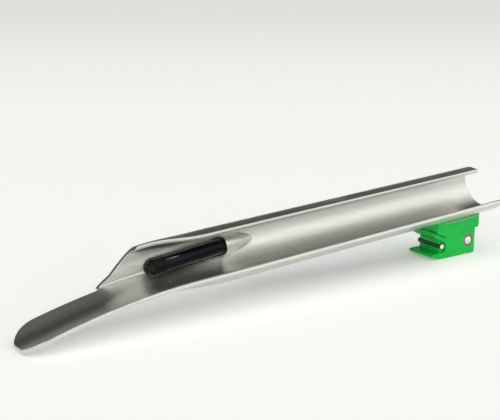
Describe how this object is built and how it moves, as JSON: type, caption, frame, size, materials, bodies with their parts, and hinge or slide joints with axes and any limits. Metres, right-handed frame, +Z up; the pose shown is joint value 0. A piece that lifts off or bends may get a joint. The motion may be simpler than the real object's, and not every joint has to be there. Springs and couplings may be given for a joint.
{
  "type": "laryngoscope blade",
  "caption": "Straight laryngoscope blade: open steel trough with flange and beak, fibre light guide, and a hook-on heel with sprung detent balls.",
  "frame": {"origin": "on the handle's hinge-pin line, at the middle of the heel's width, where that pin seats in the hook slot", "axes": "+Z up when the blade lies on a table on its heel and beak; beak towards -X, trough open towards -Y; the hinge pin lies along Y"},
  "size_m": [0.1921, 0.0268, 0.032],
  "materials": {
    "satin_steel": "satin-brushed stainless sheet with faint lengthwise grain",
    "plain_steel": "plain machined or pressed stainless steel",
    "pin_steel": "ground bright steel",
    "ball_steel": "polished bearing ball",
    "spring_steel": "drawn spring wire",
    "green_plastic": "bright green moulded plastic with a soft sheen",
    "black_sheath": "glossy black extruded sheath",
    "black_ferrule": "matt black coated ferrule",
    "fibre_bundle": "polished end of a potted fibre bundle",
    "seal_rubber": "black silicone ring"
  },
  "bodies": {
    "blade": {"blade_shell": "satin_steel", "heel_block": "green_plastic", "heel_shoulder": "green_plastic", "heel_bracket": "plain_steel", "heel_screws": "plain_steel", "hook_wear_pin": "pin_steel", "detent_sleeve_left": "pin_steel", "detent_sleeve_right": "pin_steel", "detent_spring_left": "spring_steel", "detent_spring_right": "spring_steel", "light_guide_core": "fibre_bundle", "light_guide_sheath": "black_sheath", "outlet_ferrule": "black_ferrule", "inlet_ferrule": "pin_steel", "inlet_seal": "seal_rubber", "guide_clip_front": "plain_steel", "guide_clip_rear": "plain_steel"},
    "ball_left": {"detent_ball_left": "ball_steel"},
    "ball_right": {"detent_ball_right": "ball_steel"}
  },
  "joints": [
    {"name": "detent_left", "type": "slide", "parent": "blade", "child": "ball_left", "axis": [0, 1, 0], "range_m": [0, 0.0009], "stiffness_N_per_m": 3000, "springref_m": -0.0015, "deforming": ["detent_spring_left"]},
    {"name": "detent_right", "type": "slide", "parent": "blade", "child": "ball_right", "axis": [0, -1, 0], "range_m": [0, 0.0009], "stiffness_N_per_m": 3000, "springref_m": -0.0015, "deforming": ["detent_spring_right"]}
  ]
}
